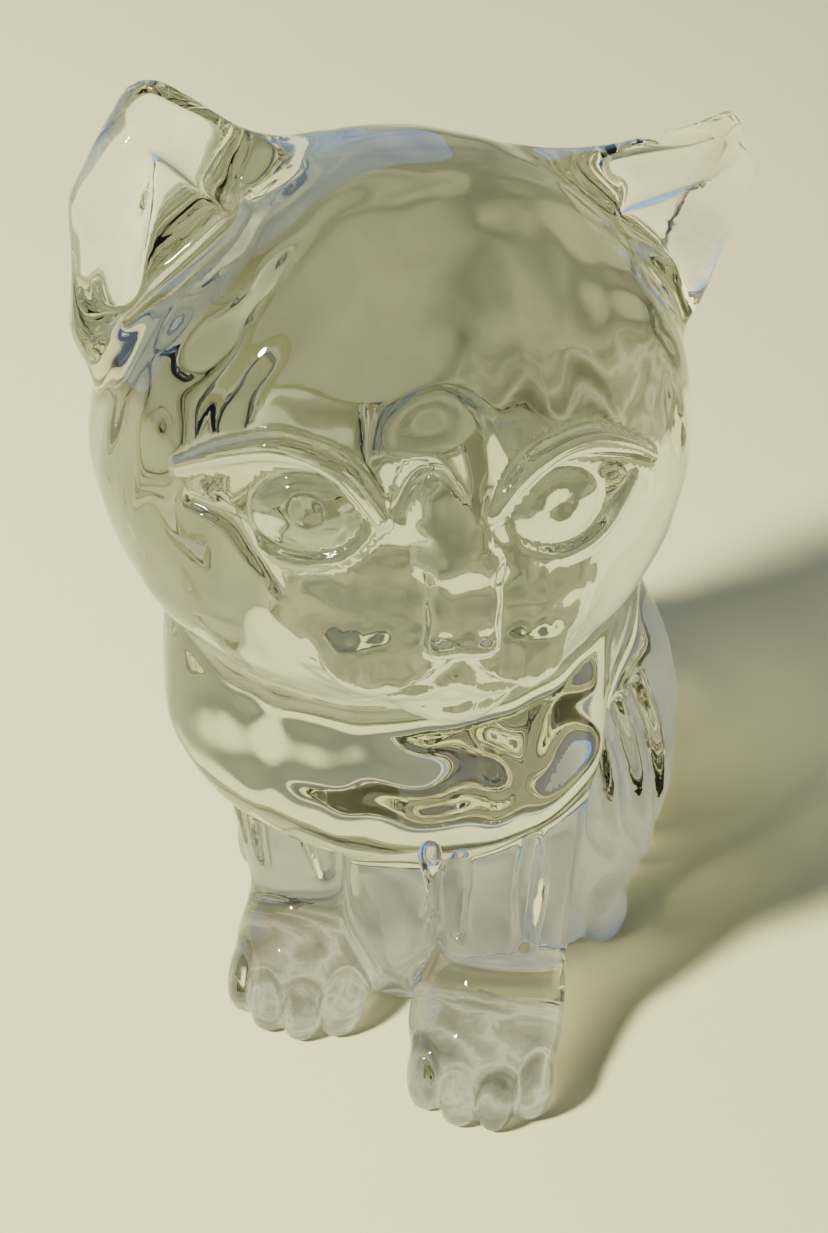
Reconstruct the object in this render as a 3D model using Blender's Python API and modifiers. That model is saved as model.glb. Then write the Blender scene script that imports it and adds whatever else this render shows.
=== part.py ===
"""Crystal glass kitten figurine, sitting with its head turned.

Metres, +Z up. The kitten faces -Y, its left side is +X, and it stands on the plane z = 0.
Every piece is clear crystal, ground flat where it meets the table and seated on its
neighbours with a thin bond gap. Sizes below are in millimetres and become metres in `mm`.
"""
import bmesh
import bpy
from math import radians
from mathutils import Matrix, Vector

# Driving dimensions, in millimetres and degrees.
BOND_GAP = 0.3                      # clearance between two neighbouring pieces
HEAD_CENTRE = (-3.0, -6.0, 57.0)
HEAD_RADII = (25.0, 23.8, 24.0)
HEAD_YAW = 27.0                     # the head looks towards the kitten's left
HEAD_PITCH = -20.0                  # and up
HEAD_ROLL = 5.5
CHEST_CENTRE = (-3.2, -9.0, 33.5)
CHEST_RADII = (20.0, 16.5, 17.5)
BIB_CENTRE = (-2.0, -12.8, 28.0)    # fullness low on the chest, hanging over the forelegs
BIB_RADII = (18.5, 11.2, 11.0)
BACK_CENTRE = (-0.5, 5.0, 37.0)     # carries the nape up to the back of the head
BACK_RADII = (17.5, 17.0, 23.0)
RUMP_CENTRE = (1.5, 10.0, 9.0)
RUMP_RADII = (19.5, 18.5, 28.5)
BELLY_CENTRE = (0.3, -0.5, 4.0)     # fills the underside, so that it can be ground flat
BELLY_RADII = (14.5, 17.0, 19.0)
WEB_CENTRE = (1.2, -15.5, 12.0)     # glass left between the forelegs
WEB_RADII = (6.0, 7.2, 18.0)
LEG_RADII = (8.2, 6.2)              # shoulder and ankle
FOREPAW_RADII = (7.2, 8.4, 6.2)
HAUNCH_RADII = (9.0, 14.0, 20.5)
HINDPAW_RADII = (5.8, 9.5, 6.0)
TOE_RADII = (2.2, 3.4, 4.0)
TOE_DROP = 2.2                      # toe centres below the paw's own centre
TOE_STEPS = (-4.6, -1.6, 1.6, 4.6)  # sideways places of the four toes of a paw
EAR_ROOT = 3.0                      # half the thickness of an ear where it meets the head
EAR_EDGE = 2.0                      # and at its tip
TAIL_ROUTE = ((14.0, 22.4, 4.2), (2.0, 28.6, 4.2), (-12.2, 26.0, 4.0), (-21.8, 15.0, 3.6), (-22.5, 3.0, 2.8))
TAIL_RADII = (5.4, 5.2, 4.9, 4.4, 3.6)
TAIL_STEPS = 5                      # limbs between two points of the tail's route

VOXEL = 0.8                         # grid that melts overlapping volumes into one form
FLOOR_BLOCK = 120.0                 # block taken away below the table plane

# Where each leg stands: shoulder, ankle, paw centre and the paw's own turn.
FORELEGS = {
    "left": ((8.5, -8.5, 30.0), (10.6, -19.5, 8.0), (10.6, -24.3, 3.8), 8.0),
    "right": ((-13.5, -6.5, 27.0), (-8.4, -14.5, 8.0), (-7.6, -18.8, 3.8), -4.0),
}
# Haunch centre, hind paw centre and that paw's turn.
HINDLEGS = {
    "left": ((12.8, 7.0, 9.0), (14.2, -1.0, 3.4), -6.0),
    "right": ((-12.0, 7.0, 9.0), (-14.0, 0.0, 3.4), 12.0),
}
# Ear corners in the head's own axes: inner root, tip, shoulder and outer root.
EARS = {
    "left": ((15.6, -0.5, 18.4), (28.4, 3.4, 22.8), (27.2, 2.6, 17.0), (21.8, 0.0, 10.4)),
    "right": ((-11.0, -0.7, 19.0), (-18.9, -0.3, 26.2), (-23.8, 1.8, 18.0), (-22.4, 1.0, 8.8)),
}
EAR_SCOOP_RADII = (6.0, 3.2, 6.6)

GLASS_COLOUR = (0.80, 0.80, 0.70, 1.0)
GLASS_ROUGHNESS = 0.03


def mm(values):
    """A point or size in millimetres, as a vector in metres."""
    return Vector(values) * 0.001


def turn(yaw=0.0, pitch=0.0, roll=0.0):
    """Rotation that rolls about Y, then pitches about X, then yaws about Z."""
    return (Matrix.Rotation(radians(yaw), 4, "Z")
            @ Matrix.Rotation(radians(pitch), 4, "X")
            @ Matrix.Rotation(radians(roll), 4, "Y"))


HEAD_FRAME = Matrix.Translation(mm(HEAD_CENTRE)) @ turn(HEAD_YAW, HEAD_PITCH, HEAD_ROLL)


def ball(bm, centre, radii, frame=Matrix.Identity(4), grow=0.0):
    """Add an ellipsoid whose radii are enlarged by `grow`."""
    size = mm([r + grow for r in radii])
    place = frame @ Matrix.Translation(mm(centre)) @ Matrix.Diagonal(size).to_4x4()
    bmesh.ops.create_icosphere(bm, subdivisions=4, radius=1.0, matrix=place)


def limb(bm, start, end, radius_start, radius_end, frame=Matrix.Identity(4), grow=0.0):
    """Add a tapered round limb between two points."""
    a = mm(start)
    b = mm(end)
    lean = (b - a).to_track_quat("Z", "Y").to_matrix().to_4x4()
    bmesh.ops.create_cone(bm, cap_ends=True, segments=32,
                          radius1=(radius_start + grow) * 0.001, radius2=(radius_end + grow) * 0.001,
                          depth=(b - a).length, matrix=frame @ Matrix.Translation((a + b) / 2) @ lean)
    ball(bm, start, (radius_start,) * 3, frame, grow)
    ball(bm, end, (radius_end,) * 3, frame, grow)


def block(bm, centre, half, frame, grow):
    """Add a box from its half sizes, each enlarged by `grow`."""
    size = mm([2.0 * (h + grow) for h in half])
    place = frame @ Matrix.Translation(mm(centre)) @ Matrix.Diagonal(size).to_4x4()
    bmesh.ops.create_cube(bm, size=1.0, matrix=place)


def head_form(bm, grow):
    """Round skull with cheeks, muzzle, nose, whisker pads, chin and eyeballs."""
    ball(bm, (0.0, 0.0, 0.3), HEAD_RADII, HEAD_FRAME, grow)
    ball(bm, (0.6, -17.5, -9.5), (10.8, 6.6, 7.6), HEAD_FRAME, grow)
    limb(bm, (-0.9, -22.0, 4.0), (0.4, -23.6, -3.0), 2.6, 2.6, HEAD_FRAME, grow)
    block(bm, (0.8, -22.7, -7.0), (2.7, 2.9, 4.1), HEAD_FRAME, grow)
    ball(bm, (2.0, -16.8, -17.0), (4.6, 3.2, 2.8), HEAD_FRAME, grow)
    for side in (-1, 1):
        ball(bm, (0.5 + side * 4.9, -20.4, -11.6), (4.9, 3.5, 4.2), HEAD_FRAME, grow)
        ball(bm, (-1.0 + side * 10.0, -19.3, -0.6), (5.0, 3.6, 3.8), HEAD_FRAME, grow)


def torso_form(bm, grow):
    """Chest, back and rump, with the web that runs down between the forelegs."""
    ball(bm, CHEST_CENTRE, CHEST_RADII, grow=grow)
    ball(bm, BIB_CENTRE, BIB_RADII, grow=grow)
    ball(bm, BACK_CENTRE, BACK_RADII, grow=grow)
    ball(bm, RUMP_CENTRE, RUMP_RADII, grow=grow)
    ball(bm, BELLY_CENTRE, BELLY_RADII, grow=grow)
    ball(bm, WEB_CENTRE, WEB_RADII, grow=grow)


def paw(bm, centre, radii, yaw, grow):
    """Add a paw with four toes."""
    frame = Matrix.Translation(mm(centre)) @ turn(yaw)
    ball(bm, (0.0, 0.0, 0.0), radii, frame, grow)
    for step in TOE_STEPS:
        reach = -6.4 if abs(step) < 2.0 else -4.9
        ball(bm, (step, reach, -TOE_DROP), TOE_RADII, frame, grow)


def foreleg_form(side):
    """Return the form of one foreleg and its paw."""
    shoulder, ankle, paw_centre, yaw = FORELEGS[side]

    def form(bm, grow):
        limb(bm, shoulder, ankle, LEG_RADII[0], LEG_RADII[1], grow=grow)
        paw(bm, paw_centre, FOREPAW_RADII, yaw, grow)
    return form


def haunch_form(side):
    """Return the form of one folded thigh."""
    def form(bm, grow):
        ball(bm, HINDLEGS[side][0], HAUNCH_RADII, grow=grow)
    return form


def hindpaw_form(side):
    """Return the form of one hind paw."""
    _, centre, yaw = HINDLEGS[side]

    def form(bm, grow):
        paw(bm, centre, HINDPAW_RADII, yaw, grow)
    return form


def smooth_row(rows, steps):
    """Points of a Catmull-Rom curve through rows of equal length."""
    ends = [rows[0]] + list(rows) + [rows[-1]]
    points = []
    for i in range(1, len(ends) - 2):
        before, start, end, after = [Vector(row) for row in ends[i - 1:i + 3]]
        for step in range(steps):
            t = step / steps
            points.append(0.5 * (2 * start + (end - before) * t
                                 + (2 * before - 5 * start + 4 * end - after) * t ** 2
                                 + (3 * start - before - 3 * end + after) * t ** 3))
    return points + [Vector(rows[-1])]


def tail_form(bm, grow):
    """Tail lying on the table, curled round the kitten's right side."""
    rows = [point + (radius,) for point, radius in zip(TAIL_ROUTE, TAIL_RADII)]
    route = smooth_row(rows, TAIL_STEPS)
    for start, end in zip(route, route[1:]):
        limb(bm, start[:3], end[:3], start[3], end[3], grow=grow)


def link(obj, collection):
    """Put a new object in one collection."""
    collection.objects.link(obj)
    return obj


def baked(obj):
    """Replace an object's mesh by its evaluated one and drop its modifiers."""
    graph = bpy.context.evaluated_depsgraph_get()
    mesh = bpy.data.meshes.new_from_object(obj.evaluated_get(graph))
    obj.modifiers.clear()
    obj.data = mesh
    return obj


def melted(name, form, collection, triangles, grow=0.0):
    """Melt a form's overlapping volumes into one smooth closed body of about `triangles`."""
    bm = bmesh.new()
    form(bm, grow)
    mesh = bpy.data.meshes.new(name)
    bm.to_mesh(mesh)
    bm.free()
    obj = link(bpy.data.objects.new(name, mesh), collection)
    remesh = obj.modifiers.new("melt", "REMESH")
    remesh.mode = "VOXEL"
    remesh.voxel_size = VOXEL * 0.001
    smooth = obj.modifiers.new("smooth", "SMOOTH")
    smooth.iterations = 6
    baked(obj)
    thin = obj.modifiers.new("thin", "DECIMATE")
    thin.ratio = min(1.0, triangles / sum(len(p.vertices) - 2 for p in obj.data.polygons))
    return baked(obj)


def ear_body(name, corners, collection):
    """An ear: the hull of four round corners, scooped out in front."""
    bm = bmesh.new()
    for i, corner in enumerate(corners):
        radius = EAR_ROOT if i in (0, 3) else EAR_EDGE
        bmesh.ops.create_icosphere(bm, subdivisions=3, radius=radius * 0.001,
                                   matrix=HEAD_FRAME @ Matrix.Translation(mm(corner)))
    bmesh.ops.delete(bm, geom=list(bm.edges), context="EDGES_FACES")
    hull = bmesh.ops.convex_hull(bm, input=bm.verts)
    inside = [v for v in hull["geom_interior"] if isinstance(v, bmesh.types.BMVert)]
    bmesh.ops.delete(bm, geom=inside, context="VERTS")
    bmesh.ops.recalc_face_normals(bm, faces=bm.faces)
    mesh = bpy.data.meshes.new(name)
    bm.to_mesh(mesh)
    bm.free()
    return link(bpy.data.objects.new(name, mesh), collection)


def ear_scoop(name, corners, collection):
    """The egg-shaped hollow in front of an ear."""
    middle = sum((Vector(c) for c in corners), Vector()) / len(corners)
    bm = bmesh.new()
    ball(bm, middle + Vector((0.0, -3.6, 0.4)), EAR_SCOOP_RADII, HEAD_FRAME)
    mesh = bpy.data.meshes.new(name)
    bm.to_mesh(mesh)
    bm.free()
    return link(bpy.data.objects.new(name, mesh), collection)


def floor_cutter(collection):
    """Block below the table plane."""
    size = FLOOR_BLOCK * 0.001
    bm = bmesh.new()
    bmesh.ops.create_cube(bm, size=size, matrix=Matrix.Translation((0.0, 0.0, -size / 2)))
    mesh = bpy.data.meshes.new("below_table")
    bm.to_mesh(mesh)
    bm.free()
    return link(bpy.data.objects.new("below_table", mesh), collection)


def cut(obj, cutters):
    """Take the cutters away from an object."""
    for cutter in cutters:
        modifier = obj.modifiers.new("cut_" + cutter.name, "BOOLEAN")
        modifier.operation = "DIFFERENCE"
        modifier.solver = "EXACT"
        modifier.object = cutter
    return baked(obj)


def crystal(name):
    """Clear lead crystal for one piece."""
    material = bpy.data.materials.new("crystal_" + name)
    material.use_nodes = True
    shader = material.node_tree.nodes["Principled BSDF"]
    shader.inputs["Base Color"].default_value = GLASS_COLOUR
    shader.inputs["Roughness"].default_value = GLASS_ROUGHNESS
    shader.inputs["Metallic"].default_value = 0.0
    return material


def centre_on_base(objects):
    """Move all the pieces so that the middle of the whole box is over the origin."""
    points = [v.co for obj in objects for v in obj.data.vertices]
    for axis in (0, 1):
        middle = (min(p[axis] for p in points) + max(p[axis] for p in points)) / 2
        for point in points:
            point[axis] -= middle


def build():
    """Model every piece, seat it on its neighbours and finish it."""
    for old in list(bpy.data.objects):
        bpy.data.objects.remove(old, do_unlink=True)
    scene = bpy.context.scene
    parts = bpy.data.collections.new("crystal_kitten")
    tools = bpy.data.collections.new("cutters")
    scene.collection.children.link(parts)
    scene.collection.children.link(tools)

    table = floor_cutter(tools)
    # Each row: piece, its form, its triangle budget, and the pieces it is seated against.
    rows = [("head", head_form, 3400, ()),
            ("torso", torso_form, 2600, ("head",))]
    for side in ("left", "right"):
        rows.append(("foreleg_" + side, foreleg_form(side), 1000, ("torso", "head")))
    for side in ("left", "right"):
        rows.append(("haunch_" + side, haunch_form(side), 600, ("torso", "foreleg_" + side)))
        rows.append(("hind_paw_" + side, hindpaw_form(side), 600,
                     ("torso", "foreleg_" + side, "haunch_" + side)))
    rows.append(("tail", tail_form, 700, ("torso", "haunch_right", "hind_paw_right")))

    grown = {}
    pieces = []
    for name, form, triangles, seats in rows:
        piece = melted(name, form, parts, triangles)
        cutters = [grown[seat] for seat in seats]
        if name != "head":
            cutters.append(table)
        pieces.append(cut(piece, cutters))
        grown[name] = melted("seat_of_" + name, form, tools, triangles, grow=BOND_GAP)

    for side, corners in EARS.items():
        name = "ear_" + side
        scoop = ear_scoop("scoop_" + side, corners, tools)
        pieces.append(cut(ear_body(name, corners, parts), [scoop, grown["head"]]))

    centre_on_base(pieces)
    for piece in pieces:
        piece.data.materials.clear()
        piece.data.materials.append(crystal(piece.name))
        piece.data.shade_smooth()
        piece.data.set_sharp_from_angle(angle=radians(40.0))
    for tool in tools.objects:
        tool.hide_render = True
        tool.display_type = "WIRE"


build()
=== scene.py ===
"""Clear crystal kitten figurine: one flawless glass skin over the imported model, on a pale floor.

The glass is modelled as a distance field in millimetres: ellipsoids and tapered limbs that
melt into each other, with the face, ears and toes pressed into it. The field is meshed on a
fine grid and every vertex is then moved exactly onto its surface.
"""
from math import cos, radians, sin

import bpy
import numpy as np
import openvdb
from mathutils import Matrix, Vector


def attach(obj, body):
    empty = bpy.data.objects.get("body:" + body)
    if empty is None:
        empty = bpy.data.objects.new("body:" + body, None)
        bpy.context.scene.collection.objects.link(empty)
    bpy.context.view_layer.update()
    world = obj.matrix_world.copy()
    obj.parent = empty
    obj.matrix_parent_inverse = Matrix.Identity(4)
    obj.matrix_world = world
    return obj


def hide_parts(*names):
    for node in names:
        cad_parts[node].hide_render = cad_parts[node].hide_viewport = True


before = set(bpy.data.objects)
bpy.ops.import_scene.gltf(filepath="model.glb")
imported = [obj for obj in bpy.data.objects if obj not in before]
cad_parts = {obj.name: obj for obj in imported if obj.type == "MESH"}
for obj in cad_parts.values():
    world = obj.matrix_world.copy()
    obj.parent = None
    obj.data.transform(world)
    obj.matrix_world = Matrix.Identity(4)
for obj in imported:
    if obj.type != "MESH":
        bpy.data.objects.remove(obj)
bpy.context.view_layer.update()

MM = 0.001
STEP = 0.5           # spacing of the glass mesh
COARSE = 4                                  # fine steps in one step of the search grid
SETTLE_PASSES = 3                           # times each vertex is moved onto the surface
FIELD_LOW = (-36.0, -42.0, -4.0)            # box that holds the whole kitten
FIELD_HIGH = (36.0, 40.0, 92.0)

HEAD_CENTRE = (-3.0, -6.0, 57.0)
HEAD_RADII = (25.0, 23.8, 24.0)
HEAD_YAW = 27.0
HEAD_PITCH = -20.0
HEAD_ROLL = 5.5
STIPPLE = (0.06, 2.6)                       # height and wavelength of the fine waves on the muzzle
MOULD_WAVES = (0.07, 8.0)                   # and of the broad ones all over the casting

CHEST = ((-3.2, -9.0, 33.5), (20.0, 16.5, 17.5))     # centre and radii of each rounded volume
BIB = ((-2.0, -12.8, 28.0), (18.5, 11.2, 11.0))
RUMP = ((1.5, 10.0, 9.0), (19.5, 18.5, 28.5))
BACK = ((-0.5, 5.0, 37.0), (17.5, 17.0, 23.0))
BELLY = ((0.3, -0.5, 4.0), (14.5, 17.0, 19.0))
WEB = ((1.2, -15.5, 12.0), (6.0, 7.2, 18.0))
NECK_FILLET = 2.5
GROUND_EDGE = 0.6                           # rounding where the casting is ground flat

EAR_CURL = 0.030                            # cross bend of the ear plate, per mm
EAR_TAPER = 0.6                             # share of the thickness lost from root to tip
EAR_TAPER_LENGTH = 20.0
# Ear outlines in the head's own axes, seen from the front: inner root, tip, shoulder, outer root.
EARS = {
    "left": {"outline": ((13.0, 20.0), (30.8, 24.2), (29.6, 17.0), (22.6, 8.5)),
             "depth": 1.5, "faces": 24.0, "thick": 3.6},
    "right": {"outline": ((-8.5, 20.6), (-19.2, 28.6), (-26.0, 18.0), (-24.0, 6.5)),
              "depth": 0.5, "faces": -18.0, "thick": 4.8},
}

# Each foreleg: shoulder, ankle, paw centre and the paw's own turn.
FORELEGS = (
    ((8.5, -8.5, 30.0), (10.6, -19.5, 8.0), (10.6, -24.3, 4.4), 8.0),
    ((-13.5, -6.5, 27.0), (-8.4, -14.5, 8.0), (-7.6, -18.8, 4.4), -4.0),
)
# Each hind leg: haunch centre, paw centre and the paw's own turn.
HINDLEGS = (
    ((12.8, 7.0, 9.0), (14.2, -1.0, 4.0), -6.0),
    ((-12.0, 7.0, 9.0), (-14.0, 0.0, 4.0), 12.0),
)
LEG_RADII = (8.2, 6.2)
LEG_FLUTES = (-50.0, -22.0, 30.0)           # directions of the upright flutes, 0 facing forward
FOREPAW_RADII = (7.2, 8.4, 6.2)
HAUNCH_RADII = (9.0, 14.0, 20.5)
HAUNCH_FOLDS = (12.0, 34.0, 56.0)
HINDPAW_RADII = (5.8, 9.5, 6.0)
TOE_RADII = (2.2, 3.4, 4.2)
TOE_STEPS = (-4.6, -1.6, 1.6, 4.6)          # sideways places of the four toes of a paw
TOE_DROP = 2.2                              # toe centres below the paw's own centre
TAIL_ROUTE = ((14.0, 22.4, 4.2), (2.0, 28.6, 4.2), (-12.2, 26.0, 4.0),
              (-21.8, 15.0, 3.6), (-22.5, 3.0, 2.8))
TAIL_RADII = (5.4, 5.2, 4.9, 4.4, 3.6)

GROUND_BAND = 0.05                          # faces below this height belong to the ground base
RUMP_REACH = 18.9                           # it ends this far from the rump's axis: the tail is polished
PAINTED_LIGHT_BAND = (-16.0, -4.0)                 # ahead of this band the base carries painted caustic light over painted shade, behind it an even frosting

GLASS_IOR = 1.545
ABSORPTION = (0.62, 0.65, 0.47, 1.0)
ABSORPTION_DENSITY = 8.0
PASS_FACING = (0.45, 0.44, 0.40, 1.0)       # lamplight let through square on
PASS_GRAZING = (0.14, 0.14, 0.13, 1.0)      # and at a slant

# Lamps, in metres.
KEY_PLACE = (-0.37, -0.33, 0.47)
KEY_AIM = (0.0, 0.0, 0.04)
WINDOW_PLACE = (-0.32, 0.28, 0.15)
WINDOW_AIM = (-0.03, 0.05, 0.0)
KEY_COLOUR = (1.0, 0.97, 0.64)
WINDOW_COLOUR = (0.10, 0.40, 1.0)
FLOOR_SIZE = 4.0
FLOOR_DROP = 0.1                            # gap below the casting in mm, so that the faces don't coincide

CAMERA_AZIMUTH = 15.0
CAMERA_ELEVATION = 42.0
CAMERA_DISTANCE = 183.0
CAMERA_AIM = (1.54, -16.0, 44.96)
CAMERA_LENS = 64.0
CAMERA_FILM = 36.0


# ---------------------------------------------------------------- distance fields

def turn(yaw=0.0, pitch=0.0, roll=0.0):
    """Rotation matrix: roll about Y, then pitch about X, then yaw about Z."""
    m = (Matrix.Rotation(radians(yaw), 3, "Z")
         @ Matrix.Rotation(radians(pitch), 3, "X")
         @ Matrix.Rotation(radians(roll), 3, "Y"))
    return np.array(m, dtype=np.float32)


def ball(points, centre, radii):
    """Distance to an ellipsoid."""
    q = points - np.asarray(centre, np.float32)
    radii = np.asarray(radii, np.float32)
    near = np.sqrt(((q / radii) ** 2).sum(axis=1))
    far = np.sqrt(((q / radii ** 2) ** 2).sum(axis=1))
    return near * (near - 1.0) / np.maximum(far, 1e-6)


def limb(points, start, end, radius_start, radius_end):
    """Distance to a round limb that tapers from one radius to another."""
    start = np.asarray(start, np.float32)
    along = np.asarray(end, np.float32) - start
    q = points - start
    t = np.clip((q @ along) / (along @ along), 0.0, 1.0)
    return np.linalg.norm(q - t[:, None] * along, axis=1) - (radius_start + (radius_end - radius_start) * t)


def smooth_row(rows, steps):
    """Points of a Catmull-Rom curve through rows of equal length."""
    ends = np.array([rows[0], *rows, rows[-1]], dtype=float)
    points = []
    for before, start, end, after in zip(ends, ends[1:], ends[2:], ends[3:]):
        for t in np.arange(steps) / steps:
            points.append(0.5 * (2 * start + (end - before) * t
                                 + (2 * before - 5 * start + 4 * end - after) * t ** 2
                                 + (3 * start - before - 3 * end + after) * t ** 3))
    return points + [ends[-1]]


def strand(points, route, radii, steps=4):
    """Distance to a smooth round strand through the points of a route."""
    rows = smooth_row([(*point, radius) for point, radius in zip(route, radii)], steps)
    return np.minimum.reduce([limb(points, a[:3], b[:3], a[3], b[3]) for a, b in zip(rows, rows[1:])])


def melt(a, b, width):
    """Union of two fields with a fillet about `width` wide."""
    h = np.maximum(width - np.abs(a - b), 0.0) / width
    return np.minimum(a, b) - h * h * width * 0.25


def carve(a, b, width):
    """Field a with b taken away and a rounded rim."""
    return -melt(-a, b, width)


def overlap(a, b, width):
    """Intersection of two fields with a rounded edge."""
    return -melt(-a, -b, width)


def ripple(points, height, wave):
    """Gentle irregular waves, as on a fire-polished surface."""
    x, y, z = (2.0 * np.pi * points / wave).T
    return height * (np.sin(x + 0.6 * np.sin(0.7 * z)) * np.sin(0.9 * y + 0.8 * np.sin(0.6 * x + 1.0))
                     + np.sin(0.8 * z + 0.7 * np.sin(0.8 * y + 2.0)))


def polygon(x, z, corners):
    """Signed distance to a convex polygon in a plane."""
    nearest = np.full(x.shape, 1e9, np.float32)
    left = np.ones(x.shape, bool)
    right = np.ones(x.shape, bool)
    for (ax, az), (bx, bz) in zip(corners, corners[1:] + corners[:1]):
        ex, ez = bx - ax, bz - az
        wx, wz = x - ax, z - az
        t = np.clip((wx * ex + wz * ez) / (ex * ex + ez * ez), 0.0, 1.0)
        nearest = np.minimum(nearest, (wx - t * ex) ** 2 + (wz - t * ez) ** 2)
        side = ex * wz - ez * wx
        left &= side > 0.0
        right &= side < 0.0
    return np.where(left | right, -1.0, 1.0) * np.sqrt(nearest)


# ---------------------------------------------------------------- the head

def on_skull(x, z, lift=0.0):
    """Point on the front of the skull above (x, z), raised by `lift`."""
    rx, ry, rz = HEAD_RADII
    y = -ry * max(0.0, 1.0 - (x / rx) ** 2 - ((z - 0.3) / rz) ** 2) ** 0.5
    point = np.array((x, y, z))
    return tuple(point * (1.0 + lift / np.linalg.norm(point)))


def block(points, centre, half, rounding):
    """Distance to a box with rounded edges."""
    q = np.abs(points - np.asarray(centre, np.float32)) - (np.asarray(half, np.float32) - rounding)
    return np.linalg.norm(np.maximum(q, 0.0), axis=1) + np.minimum(q.max(axis=1), 0.0) - rounding


def muzzle(q, d):
    """Add the nose, whisker pads, mouth and chin."""
    d = melt(d, ball(q, (0.6, -17.5, -9.5), (10.8, 6.6, 7.6)), 4.0)
    d = melt(d, limb(q, (-0.9, -22.0, 4.0), (0.4, -23.6, -3.0), 2.6, 2.6), 3.0)
    d = melt(d, block(q, (0.8, -22.7, -7.0), (2.7, 2.9, 4.1), 1.0), 0.8)
    for side, across in ((-1, 5.4), (1, 4.4)):
        d = melt(d, ball(q, (1.0 + side * across, -20.4, -11.6), (4.9, 3.5, 4.2)), 0.9)
        d = carve(d, ball(q, (0.9 + side * 1.6, -26.0, -9.4), (0.8, 0.9, 0.6)), 0.4)
    d = melt(d, ball(q, (2.0, -16.8, -17.0), (4.6, 3.2, 2.8)), 1.2)
    for side in (-1, 1):
        mouth = [(0.9, -24.2, -12.2), (1.0 + side * 2.2, -23.2, -14.6), (1.2 + side * 5.8, -20.6, -15.6)]
        d = carve(d, strand(q, mouth, (0.8, 1.1, 0.7)), 0.6)
    return d


def eye(q, d, side, x0):
    """Add an almond eye: a shallow hollow, the eyeball, and a raised lid above and below."""
    centre = on_skull(x0, -0.4)
    yaw = np.degrees(np.arctan2(centre[0], -centre[1]))
    e = (q - np.asarray(centre, np.float32)) @ turn(yaw=yaw)
    d = carve(d, ball(e, (0.0, -0.6, 0.0), (6.4, 1.6, 4.2)), 1.2)
    d = melt(d, ball(e, (-side * 0.3, 2.0, -0.2), (5.0, 2.5, 3.7)), 0.4)
    d = carve(d, ball(e, (-side * 0.7, -1.3, 0.6), (1.7, 1.1, 1.7)), 0.5)
    upper = [on_skull(x0 + side * x, z, lift) for x, z, lift in
             ((8.4, 1.6, 0.0), (5.0, 3.4, 0.4), (1.0, 4.5, 0.6), (-3.0, 3.2, 0.6), (-5.8, -0.2, 0.4))]
    lower = [on_skull(x0 + side * x, z, 0.0) for x, z in
             ((6.4, 0.4), (3.6, -3.0), (0.0, -4.3), (-3.5, -3.3), (-5.6, -0.8))]
    d = melt(d, strand(q, upper, (0.4, 0.8, 0.95, 0.95, 0.7), 6), 0.7)
    return melt(d, strand(q, lower, (0.3, 0.45, 0.55, 0.5, 0.3), 6), 0.8)


def creases(q, d):
    """Press in the cheek crease and the brow swirl."""
    cheek = ((-18.5, -15.7, -0.9), (-15.9, -18.3, -1.9), (-14.1, -19.3, -4.6), (-12.2, -19.9, -7.4))
    d = carve(d, strand(q, cheek, (0.3, 0.7, 0.8, 0.4)), 0.6)
    brow = ((-4.4, -23.8, 0.4), (-3.0, -23.9, 3.2), (-1.0, -23.9, 3.4), (0.8, -24.2, 0.6))
    return carve(d, strand(q, brow, (0.3, 0.6, 0.6, 0.3)), 0.8)


def ear(q, d, outline, depth, faces, thick):
    """Add an ear: a cupped, tapering plate with a hollow in front and a rolled rim."""
    corners = np.array(outline)
    middle = corners.mean(axis=0)
    e = (q - np.array((middle[0], depth, middle[1]), np.float32)) @ turn(yaw=faces)
    x, y, z = e[:, 0], e[:, 1], e[:, 2]
    flat = (corners - middle) / np.array((cos(radians(faces)), 1.0))
    inward = -flat / np.linalg.norm(flat - flat.mean(axis=0), axis=1)[:, None]

    def inset(amount):
        return [tuple(p) for p in flat + inward * amount]

    tip = flat[1]
    rise = np.clip(1.0 - np.hypot(x - tip[0], z - tip[1]) / EAR_TAPER_LENGTH, 0.0, 1.0)
    half = thick * (1.0 - EAR_TAPER * rise)
    bent = y - (EAR_CURL * x * x - 0.8)
    plate = overlap(polygon(x, z, inset(3.4)) - 3.2, np.abs(bent) - half, 3.4)
    hollow = overlap(polygon(x, z, inset(6.4)) - 2.2, bent + half * 0.1, 2.6)
    rim = [(px, EAR_CURL * px * px - 2.4, pz) for px, pz in inset(4.6)]
    d = carve(melt(d, plate, 3.5), hollow, 1.6)
    return melt(d, strand(e, rim, (1.6, 1.5, 2.3, 1.8), 6), 1.0)


def head(points):
    """The head, in its own turned axes."""
    q = (points - np.asarray(HEAD_CENTRE, np.float32)) @ turn(HEAD_YAW, HEAD_PITCH, HEAD_ROLL)
    d = ball(q, (0.0, 0.0, 0.3), HEAD_RADII)
    d = muzzle(q, d)
    d = eye(q, d, -1, -11.0)
    d = eye(q, d, 1, 9.0)
    d = creases(q, d)
    for shape in EARS.values():
        d = ear(q, d, **shape)
    stipple = np.clip(1.0 + ball(q, (0.6, -20.0, -10.5), (11.0, 9.0, 8.5)) / -3.0, 0.0, 1.0)
    return d + ripple(q, *STIPPLE) * stipple


# ---------------------------------------------------------------- the body

def paw(points, d, centre, radii, yaw):
    """Add a paw with four toes."""
    q = (points - np.asarray(centre, np.float32)) @ turn(yaw)
    d = melt(d, ball(q, (0.0, 0.0, -0.6), radii), 2.5)
    for step in TOE_STEPS:
        reach = -6.4 if abs(step) < 2.0 else -4.9
        d = melt(d, ball(q, (step, reach, -TOE_DROP), TOE_RADII), 0.7)
    return d


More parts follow.
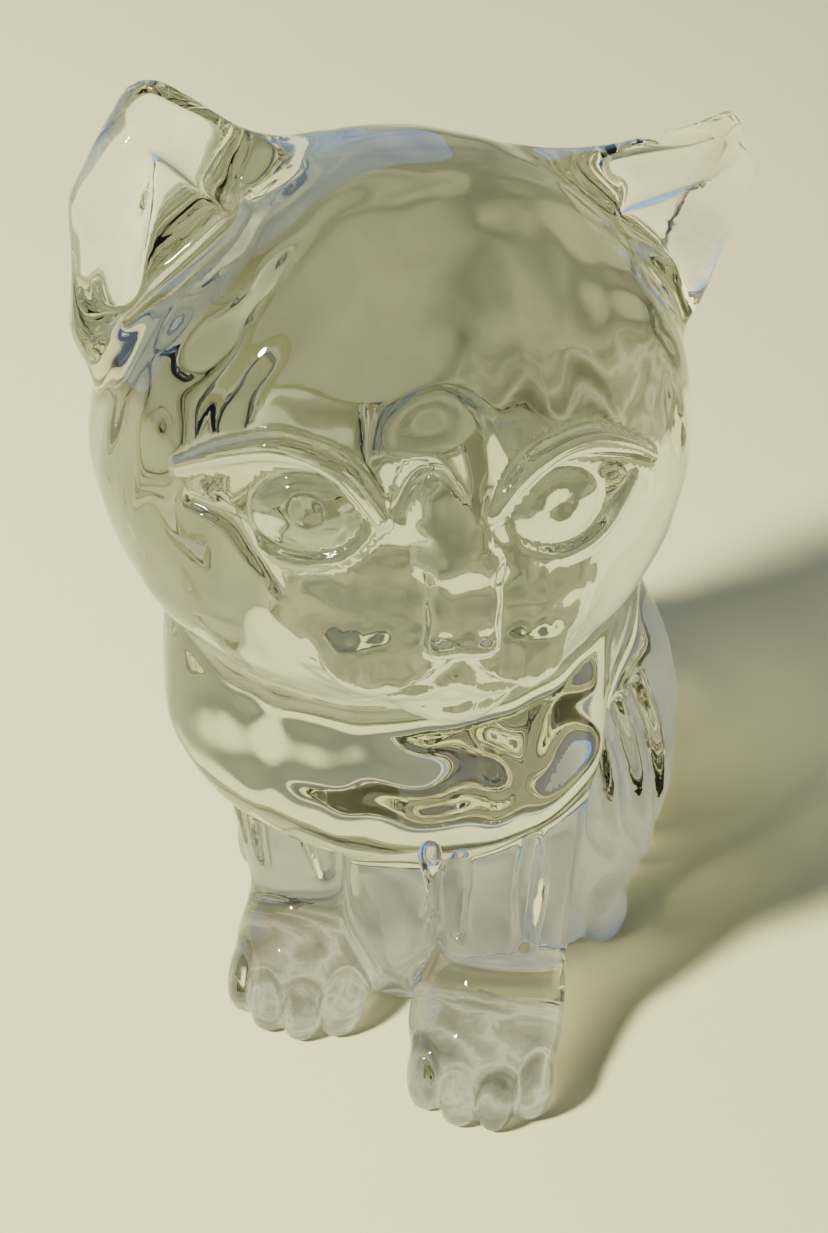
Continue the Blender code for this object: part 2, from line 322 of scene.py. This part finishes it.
def haunch_folds(points, d, centre, radii, side):
    """Press curved folds into the outer face of a haunch."""
    for facing in HAUNCH_FOLDS:
        route = []
        for rise in (-25.0, 10.0, 45.0):
            lean = radians(facing + 0.35 * rise)
            out = np.array((side * cos(lean), -sin(lean), sin(radians(rise)) / cos(radians(rise))))
            out /= np.linalg.norm(out)
            route.append(tuple(np.asarray(centre) + np.asarray(radii) * out))
        d = carve(d, strand(points, route, (0.8, 1.5, 0.9)), 1.2)
    return d


def leg_flutes(points, d, shoulder, ankle, radii):
    """Press upright flutes into the front of a foreleg."""
    for angle in LEG_FLUTES:
        out = np.array((sin(radians(angle)), -cos(radians(angle)), 0.0))
        route = []
        for t in (0.30, 0.50, 0.72):
            middle = np.asarray(shoulder) * (1.0 - t) + np.asarray(ankle) * t
            route.append(tuple(middle + out * (radii[0] * (1.0 - t) + radii[1] * t + 0.2)))
        d = carve(d, strand(points, route, (0.6, 1.3, 0.6)), 1.0)
    return d


def body(points):
    """Chest, back, rump, legs and tail."""
    d = ball(points, *CHEST)
    for volume, fillet in ((BIB, 5.0), (RUMP, 8.0), (BACK, 6.0), (BELLY, 5.0), (WEB, 2.0)):
        d = melt(d, ball(points, *volume), fillet)
    for haunch, paw_centre, yaw in HINDLEGS:
        d = melt(d, ball(points, haunch, HAUNCH_RADII), 2.5)
        d = haunch_folds(points, d, haunch, HAUNCH_RADII, np.sign(haunch[0]))
        d = paw(points, d, paw_centre, HINDPAW_RADII, yaw)
    for shoulder, ankle, paw_centre, yaw in FORELEGS:
        d = melt(d, limb(points, shoulder, ankle, *LEG_RADII), 1.2)
        d = leg_flutes(points, d, shoulder, ankle, LEG_RADII)
        d = paw(points, d, paw_centre, FOREPAW_RADII, yaw)
    return melt(d, strand(points, TAIL_ROUTE, TAIL_RADII), 4.0)


def kitten(points):
    """The whole casting, ground flat on the table plane."""
    d = melt(body(points), head(points), NECK_FILLET) + ripple(points, *MOULD_WAVES)
    return overlap(d, -points[:, 2], GROUND_EDGE)


# ---------------------------------------------------------------- from field to mesh

def slope(field, points, reach=0.05):
    """Gradient of a field."""
    columns = []
    for axis in range(3):
        shift = np.zeros(3, np.float32)
        shift[axis] = reach
        columns.append((field(points + shift) - field(points - shift)) / (2.0 * reach))
    return np.stack(columns, axis=1)


def sampled(field, low, high, step):
    """Field values on a grid, worked out finely only near the surface."""
    big = step * COARSE
    counts = [int(np.ceil((b - a) / big)) for a, b in zip(low, high)]
    axes = [a + (np.arange(n) + 0.5) * big - 0.5 * step for a, n in zip(low, counts)]
    centres = np.stack(np.meshgrid(*axes, indexing="ij"), axis=-1).reshape(-1, 3).astype(np.float32)
    rough = field(centres)
    offsets = (np.arange(COARSE) - (COARSE - 1) / 2) * step
    cell = np.stack(np.meshgrid(offsets, offsets, offsets, indexing="ij"), axis=-1).reshape(-1, 3)
    values = np.repeat(rough[:, None], COARSE ** 3, axis=1)
    near = np.flatnonzero(np.abs(rough) < big * 1.3)
    for rows in np.array_split(near, max(1, len(near) // 5000)):
        fine = (centres[rows][:, None, :] + cell.astype(np.float32)).reshape(-1, 3)
        values[rows] = field(fine).reshape(len(rows), -1)
    grid = values.reshape(*counts, COARSE, COARSE, COARSE).transpose(0, 3, 1, 4, 2, 5)
    return grid.reshape([n * COARSE for n in counts])


def skin(name, field):
    """Mesh object of the field's surface, centred on the base of its box, and how far it moved."""
    grid = np.clip(sampled(field, FIELD_LOW, FIELD_HIGH, STEP), -3.0 * STEP, 3.0 * STEP)
    volume = openvdb.FloatGrid(3.0 * STEP)
    volume.copyFromArray(np.ascontiguousarray(grid))
    points, quads = volume.convertToQuads(isovalue=0.0)
    points = np.asarray(points, np.float32) * STEP + np.asarray(FIELD_LOW, np.float32)
    for _ in range(SETTLE_PASSES):
        gradient = slope(field, points)
        length = np.maximum((gradient ** 2).sum(axis=1), 0.25)
        points -= gradient * np.clip(field(points) / length, -STEP, STEP)[:, None]
    normals = slope(field, points)
    normals /= np.linalg.norm(normals, axis=1)[:, None]
    mesh = bpy.data.meshes.new(name)
    middle = (points.min(axis=0) + points.max(axis=0)) / 2
    shift = np.array((-middle[0], -middle[1], -points[:, 2].min()), np.float32)
    mesh.from_pydata(((points + shift) * MM).tolist(), [], np.asarray(quads).tolist())
    corners = points[np.asarray(quads)]
    centres = corners.mean(axis=1)
    from_rump = np.hypot(centres[:, 0] - RUMP[0][0], centres[:, 1] - RUMP[0][1])
    tail = (centres[:, 1] > 0.0) & (from_rump > RUMP_REACH)
    ground = (corners[:, :, 2].max(axis=1) < GROUND_BAND) & ~tail
    mesh.polygons.foreach_set("material_index", ground.astype(np.int32))
    mesh.update()
    mesh.shade_smooth()
    mesh.normals_split_custom_set_from_vertices(normals.tolist())
    piece = bpy.data.objects.new(name, mesh)
    bpy.context.scene.collection.objects.link(piece)
    return piece, Vector(shift.tolist())


# ---------------------------------------------------------------- materials

def new_material(name):
    """A node material and its Principled shader."""
    material = bpy.data.materials.new(name)
    material.use_nodes = True
    return material, material.node_tree.nodes["Principled BSDF"]


def colour_ramp(tree, stops):
    """Colour ramp node through (position, colour) stops."""
    node = tree.nodes.new("ShaderNodeValToRGB")
    while len(node.color_ramp.elements) < len(stops):
        node.color_ramp.elements.new(0.5)
    for element, (position, colour) in zip(node.color_ramp.elements, stops):
        element.position = position
        element.color = (*colour, 1.0)
    return node


def add_thickness(material):
    """Faint olive absorption, and a stand-in that lets part of the lamplight through to the table."""
    tree = material.node_tree
    output = tree.nodes["Material Output"]
    absorb = tree.nodes.new("ShaderNodeVolumeAbsorption")
    absorb.inputs["Color"].default_value = ABSORPTION
    absorb.inputs["Density"].default_value = ABSORPTION_DENSITY
    tree.links.new(absorb.outputs["Volume"], output.inputs["Volume"])
    facing = tree.nodes.new("ShaderNodeLayerWeight")
    spread = tree.nodes.new("ShaderNodeValToRGB")
    spread.color_ramp.elements[0].color = PASS_FACING
    spread.color_ramp.elements[1].position = 0.6
    spread.color_ramp.elements[1].color = PASS_GRAZING
    passing = tree.nodes.new("ShaderNodeBsdfTransparent")
    path = tree.nodes.new("ShaderNodeLightPath")
    mix = tree.nodes.new("ShaderNodeMixShader")
    tree.links.new(facing.outputs["Facing"], spread.inputs["Fac"])
    tree.links.new(spread.outputs["Color"], passing.inputs["Color"])
    tree.links.new(path.outputs["Is Shadow Ray"], mix.inputs["Fac"])
    tree.links.new(tree.nodes["Principled BSDF"].outputs["BSDF"], mix.inputs[1])
    tree.links.new(passing.outputs["BSDF"], mix.inputs[2])
    tree.links.new(mix.outputs["Shader"], output.inputs["Surface"])


def crystal():
    """Lead crystal, fire polished."""
    material, shader = new_material("lead_crystal")
    shader.inputs["Base Color"].default_value = (1.0, 1.0, 1.0, 1.0)
    shader.inputs["Roughness"].default_value = 0.0
    shader.inputs["IOR"].default_value = GLASS_IOR
    shader.inputs["Transmission Weight"].default_value = 1.0
    add_thickness(material)
    return material


def frosted_base_with_painted_light():
    """Underside ground flat: evenly frosted behind; ahead of that, under the forepaws, painted shade
    crossed by bright lines of painted caustic light.
    """
    material, shader = new_material("frosted_base_with_painted_light")
    shader.inputs["Roughness"].default_value = 0.5
    shader.inputs["IOR"].default_value = GLASS_IOR
    shader.inputs["Transmission Weight"].default_value = 0.35
    tree = material.node_tree
    place = tree.nodes.new("ShaderNodeTexCoord")
    patches = tree.nodes.new("ShaderNodeTexNoise")
    patches.inputs["Scale"].default_value = 110.0
    patches.inputs["Detail"].default_value = 8.0
    patches.inputs["Roughness"].default_value = 0.62
    even = colour_ramp(tree, ((0.32, (0.72, 0.71, 0.57)), (0.66, (0.95, 0.93, 0.79))))
    cells = tree.nodes.new("ShaderNodeTexVoronoi")
    cells.feature = "DISTANCE_TO_EDGE"
    cells.inputs["Scale"].default_value = 210.0
    # Painted caustic light and painted shade: the bright cell edges stand in for focused lamplight, and the
    # dark cells for shade under the forepaws.
    painted_caustics_and_shade = colour_ramp(tree, ((0.0, (1.0, 0.98, 0.90)), (0.10, (0.62, 0.60, 0.50)),
                               (0.34, (0.24, 0.23, 0.17))))
    wander = tree.nodes.new("ShaderNodeMix")
    wander.data_type = "RGBA"
    wander.blend_type = "LINEAR_LIGHT"
    wander.inputs["Factor"].default_value = 0.006
    split = tree.nodes.new("ShaderNodeSeparateXYZ")
    span = tree.nodes.new("ShaderNodeMapRange")
    span.inputs["From Min"].default_value = PAINTED_LIGHT_BAND[0] * MM
    span.inputs["From Max"].default_value = PAINTED_LIGHT_BAND[1] * MM
    # Painted caustic light and shade in front, fading into the even frosting behind.
    blend = tree.nodes.new("ShaderNodeMix")
    blend.data_type = "RGBA"
    tree.links.new(place.outputs["Object"], patches.inputs["Vector"])
    tree.links.new(place.outputs["Object"], split.inputs["Vector"])
    tree.links.new(place.outputs["Object"], wander.inputs[6])
    tree.links.new(patches.outputs["Color"], wander.inputs[7])
    tree.links.new(wander.outputs[2], cells.inputs["Vector"])
    tree.links.new(cells.outputs["Distance"], painted_caustics_and_shade.inputs["Fac"])
    tree.links.new(patches.outputs["Fac"], even.inputs["Fac"])
    tree.links.new(split.outputs["Y"], span.inputs["Value"])
    tree.links.new(span.outputs["Result"], blend.inputs["Factor"])
    tree.links.new(painted_caustics_and_shade.outputs["Color"], blend.inputs[6])
    tree.links.new(even.outputs["Color"], blend.inputs[7])
    tree.links.new(blend.outputs[2], shader.inputs["Base Color"])
    add_thickness(material)
    return material


def table_top():
    """Matt cream laminate."""
    material, shader = new_material("pale_table")
    shader.inputs["Base Color"].default_value = (0.75, 0.715, 0.45, 1.0)
    shader.inputs["Roughness"].default_value = 0.55
    return material


# ---------------------------------------------------------------- stage, light and camera

def floor(size):
    """Pale table top under the figurine."""
    mesh = bpy.data.meshes.new("floor")
    half = size / 2
    mesh.from_pydata([(-half, -half, 0.0), (half, -half, 0.0), (half, half, 0.0), (-half, half, 0.0)],
                     [], [(0, 1, 2, 3)])
    piece = bpy.data.objects.new("floor", mesh)
    piece.location.z = -FLOOR_DROP * MM
    mesh.materials.append(table_top())
    bpy.context.scene.collection.objects.link(piece)


def softbox(name, place, aim, width, height, power, colour, through_glass=True):
    """Oval area light; it may be kept from shining through the glass and from reflecting in it."""
    light = bpy.data.lights.new(name, "AREA")
    light.shape = "ELLIPSE"
    light.size = width
    light.size_y = height
    light.energy = power
    light.color = colour
    lamp = bpy.data.objects.new(name, light)
    lamp.location = place
    lamp.visible_camera = False
    lamp.visible_transmission = through_glass
    lamp.visible_glossy = through_glass
    lamp.rotation_euler = (Vector(aim) - Vector(place)).to_track_quat("-Z", "Y").to_euler()
    bpy.context.scene.collection.objects.link(lamp)


def room():
    """Soft surroundings: pale low down, dim overhead, cool on the left and warm on the right."""
    world = bpy.data.worlds.new("room")
    world.use_nodes = True
    tree = world.node_tree
    background = tree.nodes["Background"]
    coordinates = tree.nodes.new("ShaderNodeTexCoord")
    split = tree.nodes.new("ShaderNodeSeparateXYZ")
    tree.links.new(coordinates.outputs["Generated"], split.inputs["Vector"])

    def along(axis, stops):
        """Colours along one axis, from 0 at its low end to 1 at its high end."""
        node = colour_ramp(tree, stops)
        span = tree.nodes.new("ShaderNodeMapRange")
        span.inputs["From Min"].default_value = -1.0
        tree.links.new(split.outputs[axis], span.inputs["Value"])
        tree.links.new(span.outputs["Result"], node.inputs["Fac"])
        return node

    upward = along("Z", ((0.49, (0.62, 0.60, 0.54)), (0.58, (0.44, 0.43, 0.40)),
                         (0.80, (0.32, 0.32, 0.31))))
    sideways = along("X", ((0.20, (1.10, 1.20, 1.45)), (0.55, (0.80, 0.78, 0.74)),
                           (0.85, (0.30, 0.26, 0.20))))
    both = tree.nodes.new("ShaderNodeMix")
    both.data_type = "RGBA"
    both.blend_type = "MULTIPLY"
    both.inputs["Factor"].default_value = 1.0
    tree.links.new(upward.outputs["Color"], both.inputs[6])
    tree.links.new(sideways.outputs["Color"], both.inputs[7])
    tree.links.new(both.outputs[2], background.inputs["Color"])
    background.inputs["Strength"].default_value = 0.58
    bpy.context.scene.world = world


def camera(shift):
    """Camera above and in front of the kitten, a little to its left."""
    azimuth = radians(CAMERA_AZIMUTH)
    elevation = radians(CAMERA_ELEVATION)
    back = Vector((sin(azimuth) * cos(elevation), -cos(azimuth) * cos(elevation), sin(elevation)))
    data = bpy.data.cameras.new("camera")
    data.sensor_fit = "VERTICAL"
    data.sensor_height = CAMERA_FILM
    data.lens = CAMERA_LENS
    data.clip_start = 0.005
    view = bpy.data.objects.new("camera", data)
    view.location = (Vector(CAMERA_AIM) + shift + back * CAMERA_DISTANCE) * MM
    view.rotation_euler = (-back).to_track_quat("-Z", "Y").to_euler()
    bpy.context.scene.collection.objects.link(view)
    bpy.context.scene.camera = view


kitten_glass, shift = skin("kitten_crystal", kitten)
kitten_glass.data.materials.append(crystal())
kitten_glass.data.materials.append(frosted_base_with_painted_light())
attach(kitten_glass, "root")
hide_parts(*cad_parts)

floor(FLOOR_SIZE)
room()
softbox("key_lamp", KEY_PLACE, KEY_AIM, 0.04, 0.04, 2.5, KEY_COLOUR)
softbox("key_glow", KEY_PLACE, KEY_AIM, 0.09, 0.09, 12.0, KEY_COLOUR, through_glass=False)
softbox("window_left", WINDOW_PLACE, WINDOW_AIM, 0.80, 0.50, 1.0, WINDOW_COLOUR)
camera(shift)
